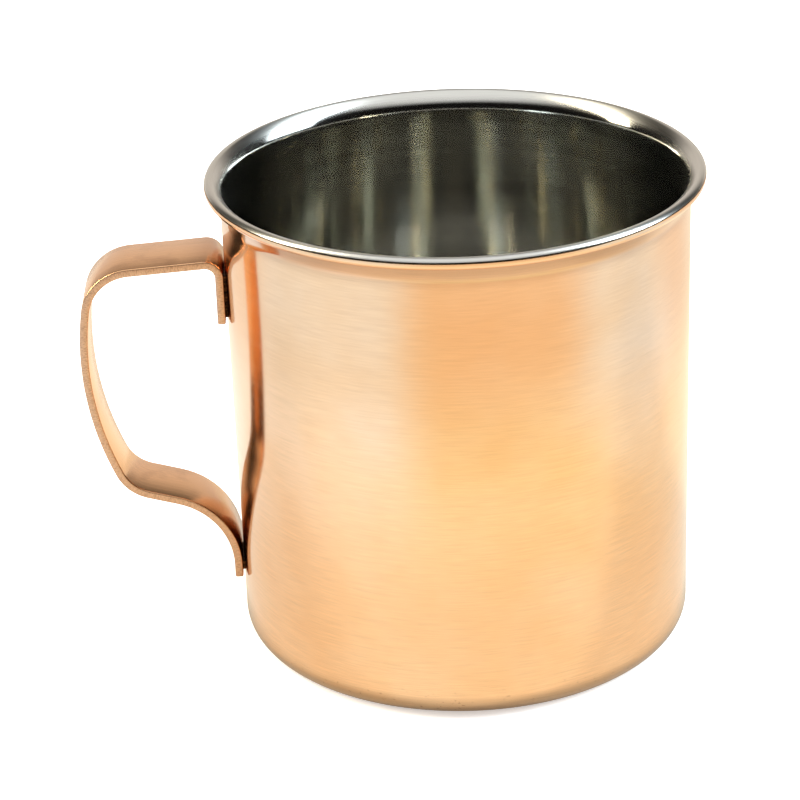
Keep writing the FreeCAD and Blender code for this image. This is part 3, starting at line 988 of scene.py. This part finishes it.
class MUG_OT_handle_strap(bpy.types.Operator):
    """Bends the strap handle, from the end of its upper leg round to the end of its lower leg."""

    bl_idname = "mug.handle_strap"
    bl_label = "Strap handle"

    def execute(self, context):
        handle, finish = context.scene.mug_handle, context.scene.mug_finish
        clear_selection()
        start = (-handle.upper_face, 0, handle.upper_leg_low)
        bpy.ops.mesh.primitive_plane_add(size=1, location=start)
        piece = bpy.context.object
        piece.name = piece.data.name = "strap_handle"
        piece.scale = (handle.sheet, handle.width, 1)
        bpy.ops.object.transform_apply(location=True, rotation=True, scale=True)
        bpy.ops.object.mode_set(mode="EDIT")
        bpy.ops.mesh.select_mode(type="FACE")
        bpy.ops.mesh.select_all(action="SELECT")
        upward = math.pi / 2
        bender = StrapBender(start, upward)
        bender.go(handle.upper_leg, steps=4)
        bender.turn(handle.upper_bend, upward + handle.upper_arm_drop, steps=16)
        bender.go(handle.upper_arm, steps=6)
        bender.turn(handle.shoulder_bend, handle.shoulder_turn, steps=16)
        bender.turn(handle.grip_bend, handle.grip_turn, steps=16)
        to_lower_arm = 2 * math.pi - handle.lower_arm_drop - bender.heading
        bender.turn(handle.heel_bend, to_lower_arm, steps=10)
        bender.go(handle.lower_arm, steps=3)
        bender.turn(handle.lower_bend, handle.lower_arm_drop - upward, steps=14)
        bender.go(handle.lower_leg, steps=2)
        bpy.ops.mesh.select_all(action="SELECT")
        bpy.ops.mesh.remove_doubles(threshold=SAME_POINT)
        bpy.ops.mesh.normals_make_consistent(inside=False)
        bpy.ops.object.mode_set(mode="OBJECT")
        round_edges(piece, handle.edge_round)
        write_strap_run(piece, bender.stations)
        material = brushed_strap_copper(finish, handle.width / 2, bender.run)
        finish_piece(piece, material, "handle_strap")
        return {"FINISHED"}


class MUG_OT_braze_pads(bpy.types.Operator):
    """Gives the two braze pads their finish; their shape is the CAD model's."""

    bl_idname = "mug.braze_pads"
    bl_label = "Braze pads"

    def execute(self, context):
        material = braze_filler(context.scene.mug_finish)
        for name in ("upper_braze_pad", "lower_braze_pad"):
            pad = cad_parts[name]
            pad.material_slots[0].material = material
        return {"FINISHED"}


class MUG_OT_stage(bpy.types.Operator):
    """Sets up the white floor, the room's light and the camera."""

    bl_idname = "mug.stage"
    bl_label = "Studio"

    def execute(self, context):
        studio, finish = context.scene.mug_studio, context.scene.mug_finish
        self.lay_floor(finish)
        self.light_room(context.scene, studio)
        self.set_camera(context.scene, studio)
        context.scene.view_settings.view_transform = "Standard"
        # Light leaves the deep cup only after it has crossed it several times.
        context.scene.cycles.glossy_bounces = 10
        return {"FINISHED"}

    def lay_floor(self, finish):
        """Lays the paper that the mug stands on."""
        clear_selection()
        bpy.ops.mesh.primitive_circle_add(vertices=96, radius=FLOOR_RADIUS, fill_type="NGON")
        floor = bpy.context.object
        floor.name = floor.data.name = "studio_floor"
        floor.data.materials.append(white_paper(finish))

    def light_room(self, scene, studio):
        """Lights the mug with a broad light overhead and two strip lamps in a dark room.

        The camera itself sees plain white all round.
        """
        world = bpy.data.worlds.new("white_studio")
        scene.world = world
        world.use_nodes = True
        tree = world.node_tree
        tree.nodes.clear()
        look = add_node(tree, "ShaderNodeTexCoord").outputs["Generated"]
        split = add_node(tree, "ShaderNodeSeparateXYZ", {0: look})
        # The broad light hangs a little towards the camera.
        leaning = add_node(
            tree, "ShaderNodeVectorMath", {0: look, 1: (0, -0.17, 1)}, operation="DOT_PRODUCT"
        )
        overhead = add_node(
            tree, "ShaderNodeMapRange",
            {"Value": leaning.outputs["Value"], "From Min": 0.6, "From Max": 0.95},
            interpolation_type="SMOOTHSTEP",
        )
        behind = add_node(
            tree, "ShaderNodeMapRange",
            {"Value": split.outputs["Y"], "From Min": 0.7, "From Max": 0.92},
            interpolation_type="SMOOTHSTEP",
        )
        around = add_node(
            tree, "ShaderNodeMix",
            {0: behind.outputs[0], 6: (*studio.room_front, 1), 7: (*studio.room_back, 1)},
            data_type="RGBA",
        )
        room = add_node(
            tree, "ShaderNodeMix",
            {0: overhead.outputs[0], 6: around.outputs[2], 7: (*studio.room_top, 1)},
            data_type="RGBA",
        )
        # Both lamps fade out over these heights at their feet and their tops, and sideways
        # between these shares of their reach.
        low, high = math.sin(studio.lamp_foot), math.sin(studio.lamp_top)
        foot_fade, top_fade, full_width, end_width = 0.08, 0.1, 0.6, 1.6
        rising = add_node(
            tree, "ShaderNodeMapRange",
            {
                "Value": split.outputs["Z"], "From Min": low - foot_fade,
                "From Max": low + foot_fade,
            },
            interpolation_type="SMOOTHSTEP",
        )
        ending = add_node(
            tree, "ShaderNodeMapRange",
            {
                "Value": split.outputs["Z"], "From Min": high + top_fade,
                "From Max": high - top_fade,
            },
            interpolation_type="SMOOTHSTEP",
        )
        tall = add_node(
            tree, "ShaderNodeMath", {0: rising.outputs[0], 1: ending.outputs[0]},
            operation="MULTIPLY",
        )
        level = add_node(
            tree, "ShaderNodeVectorMath", {0: look, 1: (1, 1, 0)}, operation="MULTIPLY"
        )
        heading = add_node(
            tree, "ShaderNodeVectorMath", {0: level.outputs[0]}, operation="NORMALIZE"
        )
        for azimuth, reach, power, tint in (
            (studio.left_lamp, studio.left_reach, studio.left_power, studio.left_tint),
            (studio.right_lamp, studio.right_reach, studio.right_power, studio.right_tint),
        ):
            towards = add_node(
                tree, "ShaderNodeVectorMath",
                {0: heading.outputs[0], 1: (math.sin(azimuth), math.cos(azimuth), 0)},
                operation="DOT_PRODUCT",
            )
            wide = add_node(
                tree, "ShaderNodeMapRange",
                {
                    "Value": towards.outputs["Value"], "From Min": math.cos(reach * end_width),
                    "From Max": math.cos(reach * full_width),
                },
                interpolation_type="SMOOTHSTEP",
            )
            inside = add_node(
                tree, "ShaderNodeMath", {0: tall.outputs[0], 1: wide.outputs[0]},
                operation="MULTIPLY",
            )
            lamp = [part * power for part in tint]
            room = add_node(
                tree, "ShaderNodeMix",
                {0: inside.outputs[0], 6: room.outputs[2], 7: (*lamp, 1)}, data_type="RGBA",
            )
        light = add_node(
            tree, "ShaderNodeBackground", {"Color": room.outputs[2], "Strength": studio.sky}
        )
        seen = add_node(tree, "ShaderNodeLightPath")
        plain = add_node(
            tree, "ShaderNodeBackground", {"Color": (1, 1, 1, 1), "Strength": 1.0}
        )
        both = add_node(
            tree, "ShaderNodeMixShader",
            {0: seen.outputs["Is Camera Ray"], 1: light.outputs[0], 2: plain.outputs[0]},
        )
        add_node(tree, "ShaderNodeOutputWorld", {"Surface": both.outputs[0]})

    def set_camera(self, scene, studio):
        """Stands the camera in its place, aimed and rolled."""
        data = bpy.data.cameras.new("camera")
        camera = bpy.data.objects.new("camera", data)
        scene.collection.objects.link(camera)
        data.lens = studio.camera_lens
        data.sensor_width = studio.camera_sensor
        place, aim = Vector(studio.camera_place), Vector(studio.camera_aim)
        camera.location = place
        camera.rotation_mode = "QUATERNION"
        level = (aim - place).to_track_quat("-Z", "Y")
        camera.rotation_quaternion = level @ Quaternion((0, 0, 1), studio.camera_roll)
        scene.camera = camera


GROUPS = {
    "mug_cup": MugCup, "mug_handle": MugHandle, "mug_finish": MugFinish, "mug_studio": MugStudio,
}
STEPS = (
    MUG_OT_copper_shell, MUG_OT_steel_liner, MUG_OT_handle_strap, MUG_OT_braze_pads, MUG_OT_stage,
)


class VIEW3D_PT_mug(bpy.types.Panel):
    """Lists the mug's sizes, colours and making steps."""

    bl_label = "Copper mug"
    bl_space_type = "VIEW_3D"
    bl_region_type = "UI"
    bl_category = "Mug"

    def draw(self, context):
        for group in GROUPS:
            values = getattr(context.scene, group)
            box = self.layout.box()
            for name in values.__annotations__:
                box.prop(values, name)
        for step in STEPS:
            self.layout.operator(step.bl_idname)


CLASSES = (*GROUPS.values(), *STEPS, VIEW3D_PT_mug)


def register():
    for cls in CLASSES:
        bpy.utils.register_class(cls)
    for name, group in GROUPS.items():
        setattr(bpy.types.Scene, name, bpy.props.PointerProperty(type=group))


def unregister():
    for name in GROUPS:
        delattr(bpy.types.Scene, name)
    for cls in reversed(CLASSES):
        bpy.utils.unregister_class(cls)


def main():
    register()
    bpy.ops.mug.copper_shell()
    bpy.ops.mug.steel_liner()
    bpy.ops.mug.handle_strap()
    bpy.ops.mug.braze_pads()
    bpy.ops.mug.stage()


if __name__ == "__main__":
    main()
